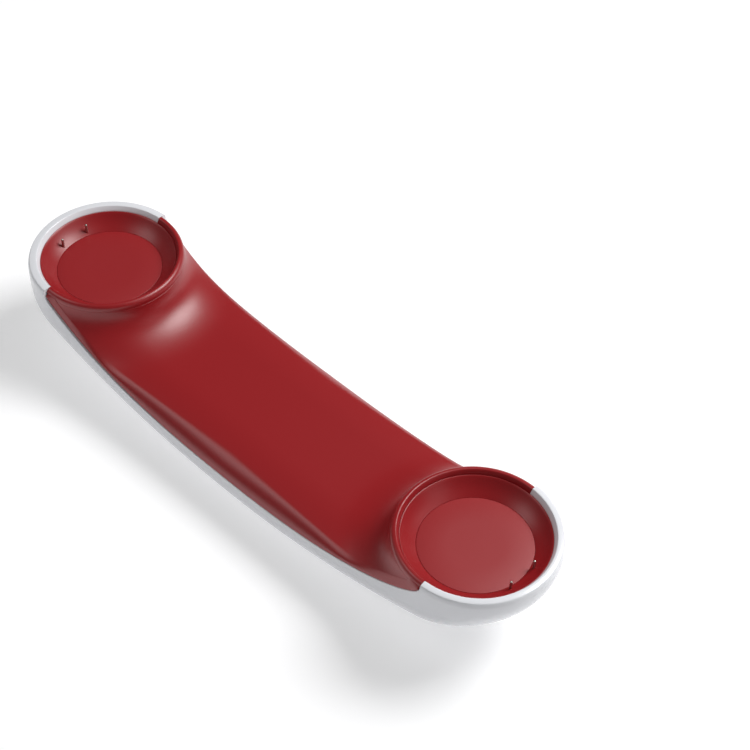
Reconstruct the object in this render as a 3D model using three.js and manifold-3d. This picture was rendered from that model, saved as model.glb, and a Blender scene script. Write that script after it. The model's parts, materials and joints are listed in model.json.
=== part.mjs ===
// A hand-held, handset-shaped electric can opener, lying on its rounded back with both cups up.
// Millimetres. +Z points out of the cup mouths, +X runs to the drive cup, and the origin is the
// middle of the small flat on the back that the part rests on.
import * as THREE from 'three';
import { ParametricGeometry } from 'three/addons/geometries/ParametricGeometry.js';
import { mergeVertices } from 'three/addons/utils/BufferGeometryUtils.js';
import Module from 'manifold-3d';

// ---- Driving dimensions ----
const RIM_Z = 35.4;                  // back to the plane where both rims' crests start
const CREST = 1.5;                   // height of the crest round each cup, above that plane
const CUP_X = 84.65;                 // each cup's centre, either side of the middle
const CUP_R = 23.3;                  // well that a cup liner drops into
const END_R = 26.8;                  // outside of the round ends, at the rim
const NOTCH_X = 86.05;               // where the red lip ends and the white rim starts
const WAIST_R = 27.7;                // half width in the middle, at the widest level
const WALL = 2.2;
const GAP = 0.3;                     // between pieces that meet
const BACK_FLAT = 0.12;              // height cut off the back for the flat it rests on

const LIP_R = 25.2;                  // outside of the raised red lip
const GRIP_DROP = 13.7;              // rim plane to the grip's flat, in the middle
const GRIP_RISE = 2.6;               // the grip's flat rises this much by the cup centres
const FLARE_R = 26.2;                // foot of the lip, where the concave flare starts
const FLARE_RUN = 28;                // how far the flare takes to meet the grip
const SEAM_DROP = 21.5;              // rim plane to the red and white seam, in the middle

const LINER_TOP = -0.4;              // these heights are from the rim plane
const FLOOR = -5.0;
const DISC_T = 1.0;
const FLANGE_T = 1.3;
const DISC_R = 18.0;
const FLANGE_R = 16.0;               // clear hole inside the liner's flange

const PIN_R = 0.5;
const PIN_ORBIT = 19.2;              // pins stand on this circle in each cup
const PIN_ANGLE = THREE.MathUtils.degToRad(16);
const SLEEVE_R = 1.1;

const BUTTON_X = -82.7;
const BUTTON_Z = 9.4;
const BUTTON_TILT = THREE.MathUtils.degToRad(17.3);
const BUTTON_R = 7.25;
const BUTTON_HOLE_R = 9.25;
const KEY_TURN = THREE.MathUtils.degToRad(-20);       // two keys on the cap span its gap here

const MODULE = 0.6;                  // gear tooth size
const PRESSURE = THREE.MathUtils.degToRad(28);
const TEETH = { pinion: 10, wheel: 24, idler: 10, output: 30 };
const SPINDLE_R = 2;
const SCREW_Y = 17.2;

const RED = { color: 0x9b262c, roughness: 0.4, metalness: 0 };
const LIP_RED = { color: 0xa92a2f, roughness: 0.42, metalness: 0 };
const WHITE = { color: 0xe9eaec, roughness: 0.18, metalness: 0 };
const STEEL = { color: 0xb9bbbd, roughness: 0.3, metalness: 1 };
const BRASS = { color: 0xc8a24a, roughness: 0.35, metalness: 1 };
const BLACK = { color: 0x202124, roughness: 0.6, metalness: 0 };
const ACETAL = { color: 0xe4e0d2, roughness: 0.45, metalness: 0 };
const BOARD = { color: 0x1f6b3a, roughness: 0.5, metalness: 0 };
const CELL = { color: 0x2f5f9e, roughness: 0.4, metalness: 0 };

const wasm = await Module();
wasm.setup();
const part = new THREE.Group();

// ---- Solids and pieces ----
// A closed three.js geometry as a solid: doubled corners merged, empty faces dropped, faces out.
function solid(geometry) {
  const bare = geometry.index ? geometry.toNonIndexed() : geometry.clone();
  bare.deleteAttribute('normal');
  bare.deleteAttribute('uv');
  const merged = mergeVertices(bare, 1e-4);
  const corners = merged.index.array;
  const faces = [];
  for (let i = 0; i < corners.length; i += 3) {
    const [a, b, c] = corners.slice(i, i + 3);
    if (a !== b && b !== c && c !== a) faces.push(a, b, c);
  }
  const make = (triVerts) => new wasm.Manifold(new wasm.Mesh({
    numProp: 3,
    vertProperties: new Float32Array(merged.attributes.position.array),
    triVerts: new Uint32Array(triVerts),
  }));
  const body = make(faces);
  return body.volume() > 0 ? body : make(faces.reverse());
}

function geometryOf(body) {
  const mesh = body.getMesh();
  const geometry = new THREE.BufferGeometry();
  geometry.setAttribute('position', new THREE.BufferAttribute(mesh.vertProperties, 3));
  geometry.setIndex(new THREE.BufferAttribute(mesh.triVerts, 1));
  geometry.computeVertexNormals();
  return geometry;
}

function piece(name, body, look, parent = part) {
  const mesh = new THREE.Mesh(geometryOf(body), new THREE.MeshStandardMaterial(look));
  mesh.name = name;
  parent.add(mesh);
  return mesh;
}

function rodShape(radius, low, high, x, y, sides) {
  const geometry = new THREE.CylinderGeometry(radius, radius, high - low, sides);
  return geometry.rotateX(Math.PI / 2).translate(x, y, (low + high) / 2);
}

function rod(radius, low, high, x = 0, y = 0, sides = 20) {
  return solid(rodShape(radius, low, high, x, y, sides));
}

function block(low, high) {
  const size = high.map((value, axis) => value - low[axis]);
  const geometry = new THREE.BoxGeometry(...size);
  return solid(geometry.translate(...low.map((value, axis) => value + size[axis] / 2)));
}

// A closed profile of [radius, height] pairs turned about the Z axis.
function turned(profile, sides, x = 0, z = 0) {
  const points = profile.map(([radius, height]) => new THREE.Vector2(radius, height));
  const geometry = new THREE.LatheGeometry(points, sides);
  return solid(geometry.rotateX(Math.PI / 2).translate(x, 0, z));
}

// An outline in X and Z, given depth along Y.
function slab(outline, halfDepth) {
  const shape = new THREE.Shape(outline.map(([x, z]) => new THREE.Vector2(x, z)));
  const geometry = new THREE.ExtrudeGeometry(shape, { depth: 2 * halfDepth, bevelEnabled: false });
  return solid(geometry.rotateX(Math.PI / 2).translate(0, halfDepth, 0));
}

// ---- Outer form ----
const REACH = CUP_X + END_R;

function crownZ(x) {
  const fall = 1 - Math.abs(x / REACH) ** 2.065;
  return RIM_Z - RIM_Z * Math.max(fall, 0) ** 0.395;
}

function widestZ(x) {
  const level = RIM_Z - 24.6 * (1 - Math.abs(x / REACH) ** 2.2);
  return Math.max(level, crownZ(x));
}

function halfWidth(x) {
  const beyond = Math.abs(x) - CUP_X;
  if (beyond > 0) return Math.sqrt(Math.max(END_R ** 2 - beyond ** 2, 0));
  return WAIST_R + (END_R - WAIST_R) * (x / CUP_X) ** 2;
}

// One point on the section at x: t runs 0 to 1 from the +Y rim edge, under the back, to the -Y one.
function sectionPoint(x, t, target) {
  const width = halfWidth(x);
  const level = widestZ(x);
  const flank = 0.16;                // share of t on each side above the widest level
  const lean = 7 * Math.max(1 - Math.abs(x / CUP_X) ** 3, 0);
  const side = t < 0.5 ? 1 : -1;
  const s = Math.min(t, 1 - t);
  if (s < flank) {
    const up = 1 - s / flank;
    return target.set(x, side * (width - lean * up ** 1.5), level + (RIM_Z - level) * up);
  }
  const angle = ((s - flank) / (0.5 - flank)) * (Math.PI / 2);
  const roundness = 2 / (2.35 - 0.25 * (x / REACH) ** 2);
  const y = width * Math.max(Math.cos(angle), 0) ** roundness;
  return target.set(x, side * y, level - (level - crownZ(x)) * Math.sin(angle) ** roundness);
}

function bodyLoft(stations, around, inset) {
  const loop = (u, v, target) => {
    const x = -REACH * Math.cos(Math.PI * u);
    const wrapped = v > 0.999 ? 0 : v;
    sectionPoint(x, wrapped * around / (around - 1), target);
  };
  const scale = (full) => (full - inset) / full;
  const geometry = new ParametricGeometry(loop, stations, around);
  geometry.translate(0, 0, -RIM_Z);
  geometry.scale(scale(REACH), scale(END_R), scale(RIM_Z));
  return solid(geometry.translate(0, 0, RIM_Z));
}

// ---- What bounds the body from above: the grip's flat, a flare round each lip and each end's rim ----
function gripZ(x) {
  return RIM_Z - GRIP_DROP + GRIP_RISE * (x / CUP_X) ** 2;
}

function flareDrop(run) {
  return GRIP_DROP * (1 - (1 - Math.sqrt(run)) ** 2);
}

function topLimit(lowered) {
  const steps = 12;
  const flat = [[-REACH, -20], [REACH, -20]];
  for (let i = 0; i <= steps; i += 1) {
    const x = REACH * (1 - 2 * i / steps);
    flat.push([x, gripZ(x) - lowered]);
  }
  const flare = [[0, -20], [FLARE_R + FLARE_RUN, -20]];
  for (let i = 8; i >= 0; i -= 1) {
    const run = (i / 8) ** 2;
    flare.push([FLARE_R + FLARE_RUN * run, RIM_Z - flareDrop(run)]);
  }
  flare.push([LIP_R, RIM_Z], [0, RIM_Z]);
  let limit = slab(flat, END_R + 5);
  for (const side of [-1, 1]) {
    limit = limit.add(turned(flare, 36, side * CUP_X, -lowered));
    const [near, far] = side > 0 ? [CUP_X, REACH + 2] : [-REACH - 2, -CUP_X];
    limit = limit.add(block([near, -END_R - 2, -20], [far, END_R + 2, RIM_Z - lowered]));
  }
  return limit;
}

// ---- The seam between the two shells, as an outline in X and Z ----
function seamOutline(lift, end) {
  const steps = 24;
  const outline = [];
  for (let i = 0; i <= steps; i += 1) {
    const u = Math.cos(Math.PI * i / steps);
    outline.push([end * u, RIM_Z + lift - SEAM_DROP * (1 - Math.abs(u) ** 2.5) ** 0.66]);
  }
  return outline;
}

function whiteSide() {
  const far = REACH + 5;
  const top = RIM_Z + 5;
  const seam = seamOutline(0, NOTCH_X);
  const crown = [[far, top], [NOTCH_X, top], ...seam, [-NOTCH_X, top], [-far, top]];
  return slab([[-far, -5], [far, -5], ...crown], 40);
}

function redSide() {
  const end = NOTCH_X - GAP;
  const top = RIM_Z + 5;
  return slab([[-end, top], ...seamOutline(GAP, end).reverse(), [end, top]], 40);
}

// ---- Button: everything in a frame whose Z points into the body ----
function tilted(geometry) {
  return solid(geometry.rotateY(BUTTON_TILT).translate(BUTTON_X, 0, BUTTON_Z));
}

// The crest round a cup: a flat top that slopes in to the liner and out to the body.
function crest(side, foot) {
  const profile = [[CUP_R, -1], [CUP_R, 0], [24.2, CREST], [25.6, CREST], [foot, -0.1], [foot, -1],
    [CUP_R, -1]];
  return turned(profile, 36, side * CUP_X, RIM_Z);
}

function buildShells(outer) {
  const cavity = bodyLoft(22, 17, WALL).intersect(topLimit(WALL));
  let hollow = outer.subtract(cavity);
  for (const side of [-1, 1]) {
    hollow = hollow.subtract(rod(CUP_R, RIM_Z - 9, RIM_Z + 1, side * CUP_X, 0, 36));
  }
  const crested = (foot) => hollow.add(crest(1, foot)).add(crest(-1, foot));
  let white = crested(END_R - 0.1).intersect(whiteSide());
  const bossTops = { '-1': RIM_Z + FLOOR - DISC_T - FLANGE_T - 2 * GAP, 1: 19.3 };
  for (const side of [-1, 1]) {
    for (const across of [-1, 1]) {
      const x = side * CUP_X;
      const y = across * SCREW_Y;
      const boss = rod(2.2, 11, bossTops[side], x, y, 12).intersect(outer);
      white = white.add(boss).subtract(rod(0.9, bossTops[side] - 5, 40, x, y, 10));
    }
  }
  white = white.subtract(tilted(rodShape(BUTTON_HOLE_R, -6, 6, 0, 0, 32)));
  piece('upper_shell', white, WHITE);
  piece('grip_shell', crested(LIP_R + 0.8).intersect(redSide()), RED);
}

// ---- Cups ----
function pinPlaces(side) {
  const reach = CUP_X + PIN_ORBIT * Math.cos(PIN_ANGLE);
  return [-1, 1].map((across) => [side * reach, across * PIN_ORBIT * Math.sin(PIN_ANGLE)]);
}

function buildLiner(name, side) {
  const under = FLOOR - DISC_T - GAP;
  const liner = [
    [22.5, LINER_TOP], [DISC_R + GAP, FLOOR], [DISC_R + GAP, under], [FLANGE_R, under],
    [FLANGE_R, under - FLANGE_T], [19.6, under - FLANGE_T], [CUP_R - GAP, -4.2],
    [CUP_R - GAP, LINER_TOP], [22.5, LINER_TOP],
  ];
  let body = turned(liner, 36, side * CUP_X, RIM_Z);
  for (const [x, y] of pinPlaces(side)) {
    body = body.subtract(rod(PIN_R + 0.35, 20, RIM_Z + 1, x, y, 10));
  }
  for (const across of [-1, 1]) {
    body = body.subtract(rod(1.5, 20, RIM_Z + under + 0.1, side * CUP_X, across * SCREW_Y, 12));
  }
  piece(name, body, LIP_RED);
}

function buildDiscs() {
  const top = RIM_Z + FLOOR;
  piece('rest_disc', rod(DISC_R, top - DISC_T, top, -CUP_X, 0, 36), RED);
  piece('lid_magnet', rod(10, top - DISC_T - 2.8, top - DISC_T - GAP, -CUP_X, 0, 24), STEEL);
  const disc = rod(DISC_R, top - DISC_T, top, CUP_X, 0, 36);
  piece('drive_disc', disc.add(rod(SPINDLE_R, 18.4, top - DISC_T / 2, CUP_X, 0, 16)), RED);
}

function buildCupScrews() {
  const under = RIM_Z + FLOOR - DISC_T - GAP;
  const lengths = { '-1': 6, 1: 14 };
  for (const [end, side] of [['rest', -1], ['drive', 1]]) {
    for (const [hand, across] of [['a', -1], ['b', 1]]) {
      const low = -lengths[side];
      const screw = [[0, low], [0.6, low], [0.6, -1], [1.2, -0.3], [1.2, 0], [0, 0]];
      const mesh = piece(`${end}_cup_screw_${hand}`, turned(screw, 10), STEEL);
      mesh.position.set(side * CUP_X, across * SCREW_Y, under - 0.15);
    }
  }
}

function buildPins() {
  const sleeveTop = RIM_Z - 7.8;
  const tip = RIM_Z - 0.6;
  for (const [end, side] of [['rest', -1], ['drive', 1]]) {
    pinPlaces(side).forEach(([x, y], i) => {
      const hand = 'ab'[i];
      const bore = rod(PIN_R + 0.1, sleeveTop - 3.5, sleeveTop + 1, 0, 0, 12);
      const sleeve = rod(SLEEVE_R, sleeveTop - 3.9, sleeveTop, 0, 0, 12).subtract(bore);
      piece(`${end}_pin_sleeve_${hand}`, sleeve, BRASS).position.set(x, y, 0);
      const foot = sleeveTop - 2.1;
      const pin = [[0, foot], [PIN_R, foot], [PIN_R, tip - 0.4], [0.3, tip], [0, tip]];
      piece(`${end}_contact_pin_${hand}`, turned(pin, 12), STEEL).position.set(x, y, 0);
    });
  }
}

// ---- Button, switch and board ----
function buildButton(outer) {
  const key = new THREE.BoxGeometry(2 * (BUTTON_HOLE_R - GAP), 3.4, 8.2).translate(0, 0, -1.9);
  const cap = tilted(rodShape(BUTTON_R, -6, 5.2, 0, 0, 32)).add(tilted(key.rotateZ(KEY_TURN)));
  const collar = tilted(rodShape(BUTTON_R + 1.2, 5.2, 6.2, 0, 0, 32));
  piece('button_cap', cap.intersect(outer).add(collar), WHITE);
  const guide = [[7.6, 3.9], [11.2, 3.9], [11.2, 4.9], [7.6, 4.9], [7.6, 3.9]];
  const frame = new THREE.Group();
  frame.rotation.y = BUTTON_TILT;
  frame.position.set(BUTTON_X, 0, BUTTON_Z);
  part.add(frame);
  piece('button_guide', turned(guide, 32), BLACK, frame);

  class Coil extends THREE.Curve {
    getPoint(t, target = new THREE.Vector3()) {
      const turn = 2 * Math.PI * 2.5 * t;
      return target.set(5.6 * Math.cos(turn), 5.6 * Math.sin(turn), 6.85 + 2.3 * t);
    }
  }
  const wire = new THREE.Shape().absarc(0, 0, 0.3, 0, 2 * Math.PI);
  const coil = new THREE.ExtrudeGeometry(wire, {
    steps: 26, curveSegments: 2, extrudePath: new Coil(), bevelEnabled: false,
  });
  piece('button_spring', solid(coil), STEEL, frame);

  const boardLow = 20.6;
  const switchX = BUTTON_X + (boardLow - 2 - BUTTON_Z) * Math.tan(BUTTON_TILT);
  piece('control_board', block([-96, -12, boardLow], [-62, 12, boardLow + 1.6]), BOARD);
  const base = block([switchX - 3, -3, boardLow - 2.7], [switchX + 3, 3, boardLow - GAP]);
  piece('tact_switch', base, BLACK);
}

// ---- Cells ----
function buildCells() {
  const radius = 7.1;
  const axisZ = 10.7;
  let cradle = block([-27.5, -15.4, 5.8], [29.8, 15.4, 10.4]);
  for (const [name, y] of [['cell_a', -8], ['cell_b', 8]]) {
    const length = new THREE.CylinderGeometry(radius, radius, 50, 24).rotateZ(Math.PI / 2);
    const terminal = new THREE.CylinderGeometry(2.7, 2.7, 52.4, 24).rotateZ(Math.PI / 2);
    const body = solid(length).add(solid(terminal.translate(1.2, 0, 0)));
    piece(name, body, CELL).position.set(0, y, axisZ);
    const bed = new THREE.CylinderGeometry(radius + GAP, radius + GAP, 53.6, 24);
    cradle = cradle.subtract(solid(bed.rotateZ(Math.PI / 2).translate(1.2, y, axisZ)));
  }
  piece('cell_cradle', cradle, BLACK);
}

// ---- Drive: motor, gears and their plate, at the +X cup ----
// Involute teeth with a little backlash. One tooth is centred on the angle given.
function gear(teeth, toothAngle, boreR, low, high) {
  const pitchR = MODULE * teeth / 2;
  const baseR = pitchR * Math.cos(PRESSURE);
  const rootR = pitchR - 1.15 * MODULE;
  const tipR = pitchR + 0.8 * MODULE;
  const involute = (r) => Math.sqrt((r / baseR) ** 2 - 1) - Math.acos(baseR / r);
  const halfAt = (r) => Math.PI / (2 * teeth) - 0.05 / pitchR + involute(pitchR) - involute(r);
  const flankR = Math.max(baseR, rootR) + 0.001;
  const flank = [[rootR, halfAt(flankR)], [flankR, halfAt(flankR)], [pitchR, halfAt(pitchR)],
    [tipR, halfAt(tipR)]];
  const outline = [];
  for (let i = 0; i < teeth; i += 1) {
    const middle = toothAngle + 2 * Math.PI * i / teeth;
    const corners = [...flank.map(([r, a]) => [r, -a]), ...[...flank].reverse()];
    for (const [r, a] of corners) {
      outline.push(new THREE.Vector2(r * Math.cos(middle + a), r * Math.sin(middle + a)));
    }
  }
  const shape = new THREE.Shape(outline);
  if (boreR) shape.holes.push(new THREE.Path().absarc(0, 0, boreR, 0, 2 * Math.PI, true));
  const options = { depth: high - low, bevelEnabled: false, curveSegments: 8 };
  return solid(new THREE.ExtrudeGeometry(shape, options).translate(0, 0, low));
}

function buildDrive() {
  const lowLayer = [21.8, 24.1];
  const highLayer = [24.6, 27];
  const outAngle = THREE.MathUtils.degToRad(140);       // output axis to idler axis
  const inAngle = THREE.MathUtils.degToRad(230);        // idler axis to motor axis
  const outRun = MODULE * (TEETH.output + TEETH.idler) / 2;
  const inRun = MODULE * (TEETH.wheel + TEETH.pinion) / 2;
  const idlerX = CUP_X + outRun * Math.cos(outAngle);
  const idlerY = outRun * Math.sin(outAngle);
  const motorX = idlerX + inRun * Math.cos(inAngle);
  const motorY = idlerY + inRun * Math.sin(inAngle);

  const output = gear(TEETH.output, outAngle, SPINDLE_R + GAP, ...highLayer);
  piece('output_gear', output, ACETAL).position.set(CUP_X, 0, 0);
  const facing = (angle, teeth) => angle + Math.PI + Math.PI / teeth;
  const idler = gear(TEETH.idler, facing(outAngle, TEETH.idler), 0.9, lowLayer[1] - 0.1, highLayer[1]);
  const wheel = gear(TEETH.wheel, inAngle, 0.9, ...lowLayer);
  piece('reduction_gear', idler.add(wheel), ACETAL).position.set(idlerX, idlerY, 0);
  const pinion = gear(TEETH.pinion, facing(inAngle, TEETH.pinion), 0, ...lowLayer);
  piece('motor_pinion', pinion.add(rod(0.75, 19.6, 22, 0, 0, 12)), BRASS)
    .position.set(motorX, motorY, 0);

  const plateLow = 19.6;
  const plateHigh = 20.8;
  const pillarTop = RIM_Z + FLOOR - DISC_T - 2 * GAP - FLANGE_T;
  let plate = block([60.5, -10, plateLow], [93, 10, plateHigh]);
  plate = plate.add(block([79, -19, plateLow], [90, 19, plateHigh]));
  for (const across of [-1, 1]) {
    plate = plate.add(rod(1.9, plateLow + 0.5, pillarTop, CUP_X, across * SCREW_Y, 12));
    plate = plate.subtract(rod(0.9, 10, 40, CUP_X, across * SCREW_Y, 10));
  }
  plate = plate.subtract(rod(SPINDLE_R + 0.08, 10, 40, CUP_X, 0, 16));
  plate = plate.subtract(rod(1.2, 10, 40, motorX, motorY, 12));
  plate = plate.subtract(rod(0.75, 10, 40, idlerX, idlerY, 12));
  piece('gear_plate', plate, STEEL);
  piece('idler_pin', rod(0.65, plateLow, highLayer[1] + 0.4, idlerX, idlerY, 12), STEEL);
  const can = rod(7, 10.7, plateLow - GAP, 0, 0, 24);
  piece('motor_can', can, STEEL).position.set(motorX, motorY, 0);
}

// ---- Leads from the board to the motor, over the cells ----
function buildLeads() {
  for (const [name, side, look] of [
    ['lead_positive', 1, { color: 0xb01e1e, roughness: 0.5, metalness: 0 }],
    ['lead_negative', -1, BLACK],
  ]) {
    const route = new THREE.CatmullRomCurve3([
      new THREE.Vector3(-61.2, 4 * side, 21.4),
      new THREE.Vector3(-56, 3.6 * side, 20.6),
      new THREE.Vector3(-48, 2 * side, 18.9),
      new THREE.Vector3(-20, 1 * side, 18.6),
      new THREE.Vector3(20, 1 * side, 18.6),
      new THREE.Vector3(46, 2 * side, 18.4),
      new THREE.Vector3(55, 3 * side, 16.5),
      new THREE.Vector3(60.6, 3 * side, 15),
    ]);
    const section = new THREE.Shape().absarc(0, 0, 0.6, 0, 2 * Math.PI);
    const options = { steps: 18, curveSegments: 3, extrudePath: route, bevelEnabled: false };
    piece(name, solid(new THREE.ExtrudeGeometry(section, options)), look);
  }
}

function backFlat() {
  return block([-150, -50, BACK_FLAT], [150, 50, RIM_Z + 10]);
}

const loft = bodyLoft(36, 27, 0).intersect(topLimit(0)).intersect(backFlat());
buildShells(loft);
buildLiner('rest_cup_liner', -1);
buildLiner('drive_cup_liner', 1);
buildDiscs();
buildCupScrews();
buildPins();
buildButton(loft);
buildCells();
buildDrive();
buildLeads();
part.position.z = -BACK_FLAT;

export default part;
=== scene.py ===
"""Looks for the hand-held, handset-shaped can opener. It lies on its rounded back, both cups up.

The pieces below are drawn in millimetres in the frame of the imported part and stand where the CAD
pieces they replace stand. Everything that doesn't show keeps its CAD mesh.
"""
import json
import math

import bmesh
import bpy
from mathutils import Matrix, Vector


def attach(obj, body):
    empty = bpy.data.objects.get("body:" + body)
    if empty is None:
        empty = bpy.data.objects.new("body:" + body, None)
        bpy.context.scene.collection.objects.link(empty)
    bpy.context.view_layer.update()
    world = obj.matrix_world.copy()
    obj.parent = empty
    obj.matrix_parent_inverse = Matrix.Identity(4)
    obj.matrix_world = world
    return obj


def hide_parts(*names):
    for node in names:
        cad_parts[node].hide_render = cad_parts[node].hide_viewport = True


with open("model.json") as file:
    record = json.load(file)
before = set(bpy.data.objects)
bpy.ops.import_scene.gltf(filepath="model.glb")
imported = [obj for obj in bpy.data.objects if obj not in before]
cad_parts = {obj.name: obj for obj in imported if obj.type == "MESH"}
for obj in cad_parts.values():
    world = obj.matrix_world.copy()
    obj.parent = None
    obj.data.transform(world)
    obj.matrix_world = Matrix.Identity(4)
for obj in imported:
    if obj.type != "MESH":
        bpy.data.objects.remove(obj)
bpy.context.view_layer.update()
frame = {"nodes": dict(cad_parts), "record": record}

# ---- Driving dimensions, in millimetres ----
MM = 0.001
RIM = 35.28            # plane where the rims' crests start, level with the liners' tops
CUP_X = 84.65          # cup centres, either side of the middle
CUP_R = 23.3           # well that a liner drops into
END_R = 26.8           # outside of the round ends
NOTCH_X = 86.05        # where the red lip ends and the white rim starts
WAIST_R = 27.7         # half width in the middle
REST_R = 27.4          # the button end is a little fuller
DEPTH = 35.4           # rim plane to the back, before the flat
LEVEL = 24.6           # rim plane to the widest level, in the middle
BEVEL = 0.8            # where the ends' outside starts to turn in to the crest
FLANK_LEAN = 7.0       # how far the flanks close in from the widest level up to the rim plane
SEAM_DROP = 21.5       # rim plane to the seam of white and red, in the middle
GRIP_DROP = 13.7       # rim plane to the grip, in the middle
GRIP_RISE = 2.6        # how much higher the grip is at the cups' centres
LIP_FOOT = 26.0        # radius where a lip meets the flare
FLARE_RUN = 28.0       # how far the flare runs out from there
WALL = 2.0
SECTION_STEPS = 30     # from the back's middle to the widest level
RISE_STEPS = 12        # from there to the edge
INSIDE_STEPS = 20      # and back along the inside
GRIP_EDGE = 21.7       # where the grip starts to round over, in the middle
ROLL_FROM = 11.0       # from here the grip falls off towards its edges
ROLL = 1.1             # by this much
CONE_TOP_R, CONE_TOP_DROP = 22.86, 0.38
CONE_FOOT_R, CONE_FOOT_DROP = 18.5, 4.72
FLOOR_R = 18.01
FLOOR_DROP = 5.0       # rim plane to a cup's floor
FLOOR_THICKNESS = 0.95
SPINDLE_R = 2.0
SPINDLE_END = 18.33    # height of the drive disc's spindle's end
PIN_R = 0.46
PIN_END_DROP = 8.9     # rim plane to a pin's hidden end
PIN_ORBIT = 19.2       # from a cup's centre to its pins
PIN_ANGLE = math.radians(16)
BUTTON_TILT = math.radians(17.3)
BUTTON_AT = Vector((-82.7, 0, 9.28))
BUTTON_R = 7.25
BUTTON_HOLE_R = 9.25
BUTTON_DEPTH = 5.2     # the cap's skirt, down to its flange
BUTTON_SIDES = 96
KEY_GAP = 0.25
KEY_WIDTH = 3.4
KEY_TURN = math.radians(-20)   # two keys on the cap span the gap round it here


# ---- Shape of the body ----
def end_r(x):
    """Radius of the round end on this side of the middle."""
    return END_R if x > 0 else REST_R


def along(x):
    """How far a station is from the middle, as a share of the way to the tip."""
    return min(abs(x) / (CUP_X + end_r(x)), 1)


def crown_z(x):
    """Height of the back's middle line."""
    power = 0.395 if x > 0 else 0.395 + 0.025 * ease(20, CUP_X, -x)
    return max(RIM - DEPTH * max(1 - along(x) ** 2.065, 0) ** power, 0)


def widest_z(x):
    """Height at which the section is widest."""
    return max(RIM - LEVEL * (1 - along(x) ** 2.2), crown_z(x))


def half_width(x):
    """Half the section's greatest width: a waist that swells in the middle, and round ends."""
    beyond = abs(x) - CUP_X
    end = end_r(x)
    if beyond > 0:
        return math.sqrt(max(end ** 2 - beyond ** 2, 0))
    return end + (WAIST_R - end) * (1 + math.cos(math.pi * x / CUP_X)) / 2


def flank_y(x, z):
    """Half width of the body at a height. Below its widest level it stays the same."""
    level = widest_z(x)
    lean = FLANK_LEAN * max(1 - (abs(x) / CUP_X) ** 3, 0)
    up = min(max((z - level) / max(RIM - level, 1e-6), 0), 1)
    return half_width(x) - lean * up ** 1.5


def squareness(x):
    """The power of the section's superellipse: a little squarer in the middle than at the ends."""
    return 2.35 - 0.25 * along(x) ** 2


def under_z(x, y):
    """Height of the back at a place in plan."""
    power = squareness(x)
    level = widest_z(x)
    share = min(abs(y) / max(half_width(x), 1e-6), 1)
    return level - (level - crown_z(x)) * (1 - share ** power) ** (1 / power)


def seam_z(x):
    """Height of the seam of white and red, which climbs to the rim plane at the notches."""
    u = min(abs(x) / NOTCH_X, 1)
    return RIM - SEAM_DROP * (1 - u ** 2.5) ** 0.66


def grip_z(x, y):
    """The scooped grip: flat across, rising to a flare round the foot of each lip."""
    flat = GRIP_DROP - GRIP_RISE * (x / CUP_X) ** 2
    run = (math.hypot(abs(x) - CUP_X, y) - LIP_FOOT) / FLARE_RUN
    run = min(max(run, 0), 1)
    flare = GRIP_DROP * (1 - (1 - math.sqrt(run)) ** 2)
    soft = 0.35
    gap = flat - flare
    past = max(abs(y) - ROLL_FROM, 0) / (GRIP_EDGE - ROLL_FROM)
    roll = ROLL * past ** 2 * ease(0, 0.45, run)
    return RIM - (flat + flare - math.sqrt(gap * gap + soft * soft)) / 2 - roll


def mix(a, b, t):
    return a + (b - a) * t


def ease(low, high, value):
    """0 up to low, 1 from high on, and a smooth step between."""
    t = min(max((value - low) / (high - low), 0), 1)
    return t * t * (3 - 2 * t)


# ---- Meshes ----
def make_piece(name, points, faces, sharp=None):
    """A smooth piece from points in millimetres. Edges that turn by more than sharp degrees stay
    sharp."""
    mesh = bpy.data.meshes.new(name)
    mesh.from_pydata([[c * MM for c in p] for p in points], [], faces)
    shell = bmesh.new()
    shell.from_mesh(mesh)
    bmesh.ops.remove_doubles(shell, verts=shell.verts, dist=2e-6)
    bmesh.ops.dissolve_degenerate(shell, edges=shell.edges, dist=1e-6)
    bmesh.ops.recalc_face_normals(shell, faces=shell.faces)
    for face in shell.faces:
        face.smooth = True
    if sharp:
        limit = math.radians(sharp)
        for edge in shell.edges:
            if len(edge.link_faces) == 2 and edge.calc_face_angle(0) > limit:
                edge.smooth = False
    shell.to_mesh(mesh)
    shell.free()
    piece = bpy.data.objects.new(name, mesh)
    bpy.context.scene.collection.objects.link(piece)
    return piece


def grid_faces(rows, columns, close_rows=False, close_columns=False):
    """The faces between rows of points, each row with the same number of points."""
    faces = []
    for i in range(rows if close_rows else rows - 1):
        for j in range(columns if close_columns else columns - 1):
            a, b = i * columns + j, i * columns + (j + 1) % columns
            c, d = (i + 1) % rows * columns + (j + 1) % columns, (i + 1) % rows * columns + j
            faces.append((a, b, c, d))
    return faces


def lathe(name, profile, x=0, y=0, z=0, sides=128, sharp=None):
    """A closed profile of (radius, height) turned about an upright axis."""
    points = []
    for k in range(sides):
        turn = 2 * math.pi * k / sides
        points += [(x + r * math.cos(turn), y + r * math.sin(turn), z + h) for r, h in profile]
    faces = grid_faces(sides, len(profile), close_rows=True, close_columns=True)
    return make_piece(name, points, faces, sharp)


def place(piece, material, slot, body, *replaced):
    """Gives a piece its material and body, and hides the CAD nodes it stands for."""
    piece.data.materials.append(material)
    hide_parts(*replaced)
    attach(piece, body)
    return piece


# ---- Colours and materials ----
def srgb(code):
    """The linear colour of an sRGB hex code."""
    channels = [int(code[i:i + 2], 16) / 255 for i in (1, 3, 5)]
    linear = [c / 12.92 if c <= 0.04045 else ((c + 0.055) / 1.055) ** 2.4 for c in channels]
    return (*linear, 1)


def add(tree, kind, settings=(), links=()):
    """One node: attributes and socket values by name, then links from other nodes' sockets."""
    node = tree.nodes.new(kind)
    for key, value in dict(settings).items():
        if hasattr(node, key):
            setattr(node, key, value)
        else:
            node.inputs[key].default_value = value
    for key, (source, output) in dict(links).items():
        tree.links.new(source.outputs[output], node.inputs[key])
    return node


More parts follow.
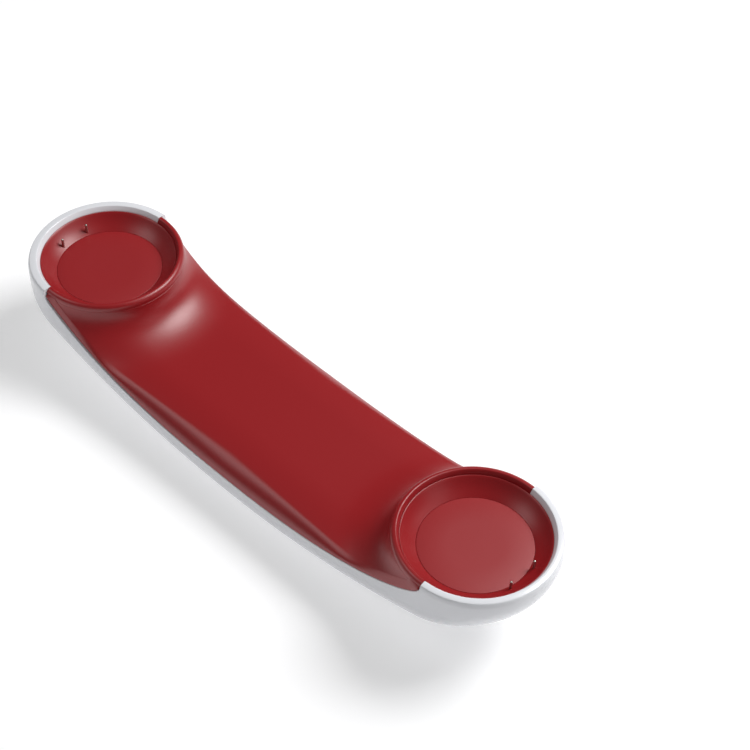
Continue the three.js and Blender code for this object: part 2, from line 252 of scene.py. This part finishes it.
def per_mm(count):
    """The scale of a pattern that has this many features in a millimetre of the object."""
    return count / MM


def new_material(name):
    material = bpy.data.materials.new(name)
    material.use_nodes = True
    tree = material.node_tree
    tree.nodes.clear()
    return material, tree


def finish_material(tree, shader):
    out = tree.nodes.new("ShaderNodeOutputMaterial")
    tree.links.new(shader.outputs[0], out.inputs["Surface"])


def gloss_abs(name, colour):
    """Polished ABS: a clear gloss over a pale body. One slow wave in about 22 mm bends the
    reflections as a moulded skin does, and smears of about 4 mm vary the gloss a little."""
    material, tree = new_material(name)
    where = add(tree, "ShaderNodeTexCoord")
    wave = add(tree, "ShaderNodeTexNoise", {"Scale": per_mm(0.045), "Detail": 1.0, "Roughness": 0.4},
               {"Vector": (where, "Object")})
    bump = add(tree, "ShaderNodeBump", {"Strength": 0.02, "Distance": 0.4 * MM}, {"Height": (wave, 0)})
    smear = add(tree, "ShaderNodeTexNoise", {"Scale": per_mm(0.26), "Detail": 3.0},
                {"Vector": (where, "Object")})
    rough = add(tree, "ShaderNodeMapRange", {"To Min": 0.15, "To Max": 0.21}, {"Value": (smear, 0)})
    shader = add(tree, "ShaderNodeBsdfPrincipled",
                 {"Base Color": srgb(colour), "IOR": 1.53},
                 {"Normal": (bump, 0), "Roughness": (rough, 0)})
    finish_material(tree, shader)
    return material


def satin_abs(name, colour, roughness, grain):
    """Spark-eroded ABS: a fine even grain that breaks highlights into a soft sheen. The real
    pits are about 0.05 mm and would not show, so they are drawn at about 0.4 mm."""
    material, tree = new_material(name)
    where = add(tree, "ShaderNodeTexCoord")
    pits = add(tree, "ShaderNodeTexNoise", {"Scale": per_mm(2.6), "Detail": 2.0, "Roughness": 0.6},
               {"Vector": (where, "Object")})
    bump = add(tree, "ShaderNodeBump", {"Strength": grain, "Distance": 0.06 * MM},
               {"Height": (pits, 0)})
    shader = add(tree, "ShaderNodeBsdfPrincipled",
                 {"Base Color": srgb(colour), "IOR": 1.53, "Roughness": roughness},
                 {"Normal": (bump, 0)})
    finish_material(tree, shader)
    return material


def metal(name, colour, roughness):
    """Plated or bare metal, lightly drawn along its length: lines about 0.3 mm apart and 5 mm
    long, so that a rod shows a soft-edged streak."""
    material, tree = new_material(name)
    where = add(tree, "ShaderNodeTexCoord")
    drawn = add(tree, "ShaderNodeMapping", {"Scale": (per_mm(3), per_mm(3), per_mm(0.2))},
                {"Vector": (where, "Object")})
    lines = add(tree, "ShaderNodeTexNoise", {"Scale": 1.0, "Detail": 2.0}, {"Vector": (drawn, 0)})
    bump = add(tree, "ShaderNodeBump", {"Strength": 0.08, "Distance": 0.03 * MM},
               {"Height": (lines, 0)})
    shader = add(tree, "ShaderNodeBsdfPrincipled",
                 {"Base Color": srgb(colour), "Metallic": 1.0, "Roughness": roughness},
                 {"Normal": (bump, 0)})
    finish_material(tree, shader)
    return material


def plain(name, colour, roughness):
    """A plastic or coated part inside the body: one colour, its skin uneven every 1 mm or so."""
    material, tree = new_material(name)
    where = add(tree, "ShaderNodeTexCoord")
    skin = add(tree, "ShaderNodeTexNoise", {"Scale": per_mm(0.9), "Detail": 2.0},
               {"Vector": (where, "Object")})
    bump = add(tree, "ShaderNodeBump", {"Strength": 0.1, "Distance": 0.05 * MM}, {"Height": (skin, 0)})
    shader = add(tree, "ShaderNodeBsdfPrincipled",
                 {"Base Color": srgb(colour), "IOR": 1.5, "Roughness": roughness},
                 {"Normal": (bump, 0)})
    finish_material(tree, shader)
    return material


WHITE = gloss_abs("ABS_white_gloss", "#DFE0E4")
RED = satin_abs("ABS_red_satin", "#8F1419", 0.36, 0.3)
FLOOR_RED = satin_abs("ABS_red_cup_floor", "#8F1419", 0.5, 0.4)
NICKEL = metal("nickel_plated_pin", "#B9B6B0", 0.28)
SLOT_MATERIALS = {
    "white_abs": WHITE,
    "red_abs": RED,
    "cup_red": RED,
    "steel": metal("zinc_plated_steel", "#B4B6B8", 0.35),
    "nickel": NICKEL,
    "brass": metal("brass", "#C8A24A", 0.35),
    "black_plastic": plain("black_nylon", "#1D1E20", 0.55),
    "acetal": plain("natural_acetal", "#E4E0D2", 0.45),
    "board_green": plain("glass_epoxy_board", "#1F6B3A", 0.4),
    "cell_wrap": plain("cell_shrink_wrap", "#2F5F9E", 0.35),
    "lead_red": plain("PVC_lead_red", "#B01E1E", 0.45),
}


# ---- White back shell, from rim to rim under the whole body ----
# The shell's edge as (distance in from its outside, height): the crest round a cup, over the rim
# plane, and the plain edge along the seam, over the seam. They blend on the way to the notches.
CREST_EDGE = [(0.05, -0.4), (0.15, 0.15), (0.32, 0.7), (0.5, 1.08), (0.62, 1.2), (0.74, 1.27),
              (0.95, 1.32), (1.5, 1.42), (2.1, 1.5), (2.38, 1.48), (2.5, 1.42), (2.6, 1.3),
              (3.2, 0.4), (3.36, 0.14), (3.46, -0.05), (3.5, -0.35), (3.5, -2.5), (3.5, -9)]
SEAM_EDGE = [(0.03, -0.12), (0.08, -0.05), (0.16, -0.01), (0.25, 0), (0.4, 0), (0.6, 0),
             (0.8, 0), (1.0, 0), (1.2, 0), (1.4, 0), (1.5, 0), (1.6, 0),
             (1.7, 0), (1.85, -0.05), (1.95, -0.15), (2.0, -0.35), (2.0, -1.2), (2.0, -2.5)]


def shell_section(x, phi):
    """Half a section of the shell at a station, from the back's middle round its edge and back
    along its inside. phi is the station's angle round an end, or None between the cups."""
    at_end = phi is not None
    sign = 1 if x >= 0 else -1
    level, crown, width = widest_z(x), crown_z(x), half_width(x)
    end = end_r(x)
    near_notch = ease(84.9, NOTCH_X, abs(x))
    bevel = BEVEL if at_end else mix(0.25, BEVEL, near_notch)
    top = RIM if at_end else seam_z(x)
    outer = []
    roundness = 2 / squareness(x)
    for i in range(SECTION_STEPS + 1):
        turn = math.pi / 2 * (1 - i / SECTION_STEPS)
        y = width * max(math.cos(turn), 0) ** roundness
        z = level - (level - crown) * max(math.sin(turn), 0) ** roundness
        outer.append((x, y, min(z, RIM - bevel)))
    low = min(level, top - bevel)
    for i in range(1, RISE_STEPS + 1):
        z = mix(low, top - bevel, i / RISE_STEPS)
        outer.append((x, flank_y(x, z), z))
    lip = []
    side = flank_y(x, top - bevel)
    floor = crown + WALL + 0.4
    for (inward, rise), (slim, fall) in zip(CREST_EDGE, SEAM_EDGE):
        if at_end:
            # Only the outside follows the fuller end. The crest's top is alike at both cups.
            radius = (end if inward < 1 else END_R) - inward
            lip.append((sign * (CUP_X + radius * math.sin(phi)), radius * math.cos(phi),
                        RIM + rise))
        else:
            lip.append((x, side - mix(slim, inward, near_notch),
                        max(top + mix(fall, min(rise, 0), near_notch), min(floor, top - 0.2))))
    inner = []
    last = lip[-1]
    scale = CUP_R / end if at_end else last[1] / max(side, 1e-6)
    for i in range(1, INSIDE_STEPS + 1):
        t = i / INSIDE_STEPS
        y = last[1] * math.cos(t * math.pi / 2) ** 0.85 if i < INSIDE_STEPS else 0
        skin = under_z(x, min(y / max(scale, 1e-6), width)) + WALL
        inner.append((last[0], y, min(skin, last[2])))
    return outer + lip + inner


def stations():
    """The middle's stations, closer together where the edge climbs to the rim, then the ends'."""
    half = 84
    middle = []
    for i in range(-half, half + 1):
        t = i / half
        middle.append(NOTCH_X * (0.35 * t + 0.65 * math.sin(t * math.pi / 2)))
    turns = [3 * k for k in range(2, 28)] + [83, 85, 86.5, 88, 89, 90]

    def end(radius):
        first = math.asin((NOTCH_X - CUP_X) / radius)
        angles = [first] + [math.radians(t) for t in turns]
        return [(CUP_X + radius * math.sin(a), a) for a in angles]

    listed = [(-x, a) for x, a in reversed(end(REST_R))]
    return listed + [(x, None) for x in middle] + end(END_R)


def build_shell():
    """Half the sections' skin, and its mirror image over the middle plane."""
    rows = [shell_section(x, phi) for x, phi in stations()]
    width = len(rows[0])
    points = [p for row in rows for p in row]
    mirrored = [(x, -y, z) for x, y, z in points]
    faces = grid_faces(len(rows), width)
    count = len(points)
    faces += [tuple(i + count for i in reversed(face)) for face in faces]
    return make_piece("back_shell", points + mirrored, faces, sharp=38)


# ---- Button: a frame whose Z points into the body ----
BUTTON_FRAME = Matrix.Translation(BUTTON_AT) @ Matrix.Rotation(BUTTON_TILT, 4, "Y")


def skin_at(radius, turn, lift):
    """A point at a radius and turn about the button's axis, lifted into the body from its skin."""
    a, b = radius * math.cos(turn), radius * math.sin(turn)
    low, high = -6.0, 6.0
    for _ in range(30):
        c = (low + high) / 2
        p = BUTTON_FRAME @ Vector((a, b, c))
        low, high = (c, high) if p.z < under_z(p.x, p.y) else (low, c)
    return BUTTON_FRAME @ Vector((a, b, low + lift))


def cut_button_hole(piece):
    """Opens the shell round the button and gives the opening a wall with a rounded outer edge."""
    sides = BUTTON_SIDES
    margin = 0.45       # cleared past the opening, for its rounded edge
    halfway = 1.2       # through the wall
    shell = bmesh.new()
    shell.from_mesh(piece.data)
    into = BUTTON_FRAME.inverted()

    def inside(vert):
        p = into @ (vert.co / MM)
        return math.hypot(p.x, p.y) < BUTTON_HOLE_R + margin and abs(p.z) < 7

    doomed = [f for f in shell.faces if any(inside(v) for v in f.verts)]
    bmesh.ops.delete(shell, geom=doomed, context="FACES")
    bare = [e for e in shell.edges if e.is_boundary]
    depth = {e: sum((into @ (v.co / MM)).z for v in e.verts) / 2 for e in bare}
    outer_edges = [e for e in bare if depth[e] < halfway]
    inner_edges = [e for e in bare if depth[e] >= halfway]
    steps = [(0.3, 0), (0.16, 0.03), (0.05, 0.12), (0, 0.3), (0, 1.0), (0, 2.2)]
    loops = []
    for extra, lift in steps:
        ring = []
        for k in range(sides):
            p = skin_at(BUTTON_HOLE_R + extra, 2 * math.pi * k / sides, lift)
            ring.append(shell.verts.new(p * MM))
        loops.append([shell.edges.new((ring[k], ring[(k + 1) % sides])) for k in range(sides)])
    bmesh.ops.bridge_loops(shell, edges=outer_edges + loops[0])
    for a, b in zip(loops, loops[1:]):
        bmesh.ops.bridge_loops(shell, edges=a + b)
    bmesh.ops.bridge_loops(shell, edges=loops[-1] + inner_edges)
    bmesh.ops.recalc_face_normals(shell, faces=shell.faces)
    for face in shell.faces:
        face.smooth = True
    shell.to_mesh(piece.data)
    shell.free()


def key_loop(turn, trim, lift):
    """The outline of a key on the cap, from under the cap's face out to the gap at its end."""
    half, near, far = KEY_WIDTH / 2 - trim, 6.4, BUTTON_HOLE_R - KEY_GAP - trim
    corners = [(near, half), (far, half), (far, -half), (near, -half)]
    outline = []
    for (a, b), (c, d) in zip(corners, corners[1:] + corners[:1]):
        outline += [(mix(a, c, k / 4), mix(b, d, k / 4)) for k in range(4)]
    loop = []
    for out, across in outline:
        radius = min(math.hypot(out, across), far)
        loop.append(tuple(skin_at(radius, turn + math.atan2(across, out), lift)))
    return loop


def key_mesh(turn, first):
    """One key's points and faces, its first point numbered first."""
    steps = ((0.25, 0), (0.12, 0.04), (0, 0.16), (0, BUTTON_DEPTH))
    loops = [key_loop(turn, *step) for step in steps]
    sides = len(loops[0])
    faces = [tuple(first + i for i in face)
             for face in grid_faces(len(loops), sides, close_columns=True)]
    base = first + (len(loops) - 1) * sides
    caps = [tuple(range(first, first + sides))[::-1], tuple(range(base, base + sides))]
    return [p for loop in loops for p in loop], faces + caps


def build_button():
    """The cap: its face carries on the body's skin, with a rounded edge down to a plain skirt, a
    flange that keeps it in and two keys."""
    rings = [(BUTTON_R * k / 12, 0) for k in range(1, 12)]
    rings += [(BUTTON_R - 0.3, 0), (BUTTON_R - 0.16, 0.03), (BUTTON_R - 0.05, 0.12), (BUTTON_R, 0.3)]
    sides = BUTTON_SIDES
    points = [tuple(skin_at(0, 0, 0))]
    for radius, lift in rings:
        points += [tuple(skin_at(radius, 2 * math.pi * k / sides, lift)) for k in range(sides)]
    flange_r, flange_end = BUTTON_R + 1.2, BUTTON_DEPTH + 1
    flange = ((BUTTON_R, BUTTON_DEPTH), (flange_r, BUTTON_DEPTH), (flange_r, flange_end),
              (5, flange_end))
    for radius, depth in flange:
        for k in range(sides):
            turn = 2 * math.pi * k / sides
            flat = Vector((radius * math.cos(turn), radius * math.sin(turn), depth))
            points.append(tuple(BUTTON_FRAME @ flat))
    points.append(tuple(BUTTON_FRAME @ Vector((0, 0, flange_end))))
    count = len(rings) + len(flange)
    faces = [(0, 1 + (k + 1) % sides, 1 + k) for k in range(sides)]
    faces += [tuple(i + 1 for i in face) for face in grid_faces(count, sides, close_columns=True)]
    last = len(points) - 1
    base = 1 + (count - 1) * sides
    faces += [(last, base + k, base + (k + 1) % sides) for k in range(sides)]
    for turn in (KEY_TURN, KEY_TURN + math.pi):
        more_points, more_faces = key_mesh(turn, len(points))
        points += more_points
        faces += more_faces
    return make_piece("button_cap_face", points, faces, sharp=50)


# ---- Red grip ----
# The lip round a cup as (radius, height over the rim plane), from its foot over its round top
# and down inside the liner's well.
LIP = [(26.0, -1.1), (26.0, -0.8), (26.0, -0.4), (25.97, 0.05), (25.86, 0.5), (25.62, 0.92),
       (25.3, 1.22), (24.95, 1.4), (24.6, 1.49), (24.35, 1.5), (24.15, 1.42), (24.0, 1.27),
       (23.75, 0.85), (23.5, 0.4), (23.34, 0.0), (23.3, -0.2), (23.3, -4.0), (23.3, -7.0)]
GRIP_ACROSS = 44
GRIP_ALONG = 90
ROUND_STEPS = 9
FLANK_STEPS = 8


def bend(start, start_pull, end_pull, end, t):
    """A point on a curve that leaves its start and meets its end along the two pulls."""
    a, b, c, d = (1 - t) ** 3, 3 * t * (1 - t) ** 2, 3 * t * t * (1 - t), t ** 3
    return tuple(a * p + b * q + c * r + d * s
                 for p, q, r, s in zip(start, start_pull, end_pull, end))


def grip_flank(x, y, z):
    """From the grip's edge round its corner, down the body's skin to the seam and in under."""
    bottom = max(seam_z(x), seam_z(abs(x) + 0.12)) + 0.12
    room = max(z - bottom, 0.0)
    drop = min(mix(5.2, 4.0, ease(50, 84, abs(x))), 0.68 * room)
    out = flank_y(x, z - drop)
    fall = (z - grip_z(x, y + 0.1)) / 0.1 if room > 2 else 0
    fall = min(max(fall, 0), 0.6)
    pull = 0.36 * max(out - y, 0)
    lean = flank_y(x, z - drop) - flank_y(x, z - 0.62 * drop)
    start_pull = (y + pull, z - fall * pull)
    end_pull = (out - max(lean, 0), z - 0.62 * drop)
    points = []
    for k in range(1, ROUND_STEPS + 1):
        points.append((x, *bend((y, z), start_pull, end_pull, (out, z - drop), k / ROUND_STEPS)))
    edge = min(0.22, 0.3 * room)
    low = min(bottom, z) + edge
    for k in range(1, FLANK_STEPS + 1):
        level = mix(z - drop, low, k / FLANK_STEPS)
        points.append((x, flank_y(x, level), level))
    side = points[-1][1]
    for inward, down in ((0.06, 0.7), (0.22, 1.0), (1.3, 1.0)):
        points.append((x, side - inward, low - edge * down))
    return points


def grip_half_row(u):
    """Half a row of the grip, from the middle line to the seam. u past 1 counts lip rows."""
    row = []
    reach = LIP_FOOT + 0.05
    widest_turn = math.pi / 2 + math.asin((NOTCH_X - CUP_X - 0.15) / reach)
    step = int(round(u - 1)) if u > 1 else None
    for k in range(GRIP_ACROSS + 1):
        v = k / GRIP_ACROSS
        turn = v * widest_turn
        if step is None:
            s = 1 - (1 - u) ** 2
            x = s * (CUP_X - reach * math.cos(turn))
            y = mix(GRIP_EDGE * v, reach * math.sin(turn), s)
            row.append((x, y, grip_z(x, y)))
        else:
            radius, rise = LIP[step - 1]
            row.append((CUP_X - radius * math.cos(turn), radius * math.sin(turn), RIM + rise))
    x, y, z = row[-1]
    if step is None:
        return row + grip_flank(x, y, z)
    extra = ROUND_STEPS + FLANK_STEPS + 3
    return row + [(x, y, z - 3.0 * (k + 1) / extra) for k in range(extra)]


def build_grip():
    """A quarter of the grip, turned over both ways to make the whole."""
    levels = [k / GRIP_ALONG for k in range(GRIP_ALONG + 1)] + [k + 2 for k in range(len(LIP))]
    rows = [grip_half_row(u) for u in levels]
    width = len(rows[0])
    quarter = [p for row in rows for p in row]
    faces = []
    points = []
    quarter_faces = grid_faces(len(rows), width)
    for sx in (1, -1):
        for sy in (1, -1):
            base = len(points)
            points += [(sx * x, sy * y, z) for x, y, z in quarter]
            for face in quarter_faces:
                faces.append(tuple(i + base for i in (face if sx * sy > 0 else face[::-1])))
    return make_piece("grip_skin", points, faces, sharp=50)


# ---- Cups, discs and pins ----
def cup_wall(name, side):
    """A liner: a small rounded top edge, a slightly bowed cone and a flange that bears the disc."""
    profile = [(23.28, -0.5), (23.27, -0.3), (23.22, -0.2), (23.12, -0.19), (23.0, -0.26),
               (CONE_TOP_R, -CONE_TOP_DROP)]
    for k in range(1, 10):
        t = k / 10
        bow = 0.2 * math.sin(math.pi * t)
        radius = mix(CONE_TOP_R, CONE_FOOT_R, t) + bow * 0.7
        profile.append((radius, mix(-CONE_TOP_DROP, -CONE_FOOT_DROP, t) - bow * 0.7))
    profile += [(CONE_FOOT_R, -CONE_FOOT_DROP), (18.32, -4.88), (18.18, -4.97), (18.1, -5.04),
                (18.06, -5.14), (18.06, -6.28), (16.05, -6.28), (16.05, -7.55), (19.55, -7.55),
                (23.27, -4.1)]
    return lathe(name, profile, x=side * CUP_X, z=RIM, sides=160, sharp=40)


def cup_floor(name, side, spindle):
    """A flat disc with a small rounded edge, and a spindle under the driven one."""
    top, under = -FLOOR_DROP, -FLOOR_DROP - FLOOR_THICKNESS
    profile = [(0, top), (9, top), (17.86, top), (17.95, top - 0.02), (18, top - 0.08),
               (FLOOR_R, top - 0.2), (FLOOR_R, under)]
    if spindle:
        profile += [(SPINDLE_R, under), (SPINDLE_R, SPINDLE_END - RIM), (0, SPINDLE_END - RIM)]
    else:
        profile += [(0, under)]
    return lathe(name, profile, x=side * CUP_X, z=RIM, sides=128, sharp=40)


def pin(name, x, y):
    """A straight pin with a domed tip."""
    profile = [(0, -0.62), (0.16, -0.64), (0.3, -0.71), (0.4, -0.84), (0.44, -1.0), (PIN_R, -2),
               (PIN_R, -PIN_END_DROP), (0, -PIN_END_DROP)]
    return lathe(name, profile, x=x, y=y, z=RIM, sides=32, sharp=60)


def build_cups():
    """Both cups: the one that rests and the one whose floor is driven, with two pins each."""
    for end, side in (("rest", -1), ("drive", 1)):
        place(cup_wall(end + "_cup_wall", side), RED, "cup_red", "housing", end + "_cup_liner")
        body = "drive" if side > 0 else "housing"
        floor = cup_floor(end + "_cup_floor", side, side > 0)
        place(floor, FLOOR_RED, "cup_red", body, end + "_disc")
        for hand, across in (("a", -1), ("b", 1)):
            x = side * (CUP_X + PIN_ORBIT * math.cos(PIN_ANGLE))
            y = across * PIN_ORBIT * math.sin(PIN_ANGLE)
            rod = pin(f"{end}_pin_{hand}", x, y)
            place(rod, NICKEL, "nickel", f"pin_{end}_{hand}", f"{end}_contact_pin_{hand}")


shell = build_shell()
cut_button_hole(shell)
place(shell, WHITE, "white_abs", "housing", "upper_shell")
place(build_grip(), RED, "red_abs", "housing", "grip_shell")
place(build_button(), WHITE, "white_abs", "button", "button_cap")
build_cups()

# Every CAD node takes the material of its slot, so that the inside is right too when it shows.
SLOTS = {p["node"]: p["material_slot"] for p in frame["record"]["subparts"]}
for node, item in frame["nodes"].items():
    item.data.materials.clear()
    item.data.materials.append(SLOT_MATERIALS[SLOTS[node]])


# ---- Floor, light and camera ----
def area_light(name, start_mm, aim_mm, size_mm, power):
    """A soft box at a place, turned to face another."""
    light = bpy.data.lights.new(name, "AREA")
    light.shape = "RECTANGLE"
    light.size, light.size_y = size_mm[0] * MM, size_mm[1] * MM
    light.energy = power
    lamp = bpy.data.objects.new(name, light)
    bpy.context.scene.collection.objects.link(lamp)
    start, aim = Vector(start_mm) * MM, Vector(aim_mm) * MM
    lamp.location = start
    lamp.rotation_euler = (aim - start).to_track_quat("-Z", "Y").to_euler()


def build_floor():
    """Matt white paper, which also glows a little so that the shadows stay soft."""
    half = 3000.0
    points = [(-half, -half, 0), (half, -half, 0), (half, half, 0), (-half, half, 0)]
    floor = make_piece("studio_floor", points, [(0, 1, 2, 3)])
    material, tree = new_material("matt_paper")
    fibre_at = add(tree, "ShaderNodeTexCoord")
    fibre = add(tree, "ShaderNodeTexNoise", {"Scale": per_mm(0.9), "Detail": 2.0},
                {"Vector": (fibre_at, "Object")})
    bump = add(tree, "ShaderNodeBump", {"Strength": 0.03, "Distance": 0.1 * MM},
               {"Height": (fibre, 0)})
    shader = add(tree, "ShaderNodeBsdfPrincipled",
                 {"Base Color": srgb("#D2D2D3"), "Roughness": 0.9, "Specular IOR Level": 0.2,
                  "Emission Color": srgb("#FFFFFF"), "Emission Strength": 0.42},
                 {"Normal": (bump, 0)})
    finish_material(tree, shader)
    floor.data.materials.append(material)


def build_world():
    """Even white light from all round, which fills the shadows a little."""
    world = bpy.data.worlds.new("studio")
    bpy.context.scene.world = world
    world.use_nodes = True
    back = world.node_tree.nodes["Background"]
    back.inputs["Color"].default_value = (1, 1, 1, 1)
    back.inputs["Strength"].default_value = 0.1


def build_camera():
    """Looks down along the body from beyond the driven cup, with a long lens."""
    lens = bpy.data.cameras.new("camera")
    lens.lens = 84
    lens.sensor_width = 36
    lens.clip_end = 20
    camera = bpy.data.objects.new("camera", lens)
    right = Vector((0.7206, 0.6930, 0.0214))
    up = Vector((-0.5224, 0.5225, 0.6739))
    back = right.cross(up).normalized()
    up = back.cross(right).normalized()
    right.normalize()
    turn = Matrix((right, up, back)).transposed().to_4x4()
    camera.matrix_world = Matrix.Translation(Vector((276.70, -256.53, RIM + 418.60)) * MM) @ turn
    bpy.context.scene.collection.objects.link(camera)
    bpy.context.scene.camera = camera


build_floor()
build_world()
area_light("key_softbox", (260, 540, 780), (0, 0, 20), (480, 480), 10.4)
area_light("right_softbox", (900, 200, 500), (0, 0, 20), (400, 500), 0.5)
area_light("fill_softbox", (-520, -560, 780), (0, 0, 20), (500, 500), 2.2)
build_camera()
bpy.context.scene.view_settings.view_transform = "Standard"
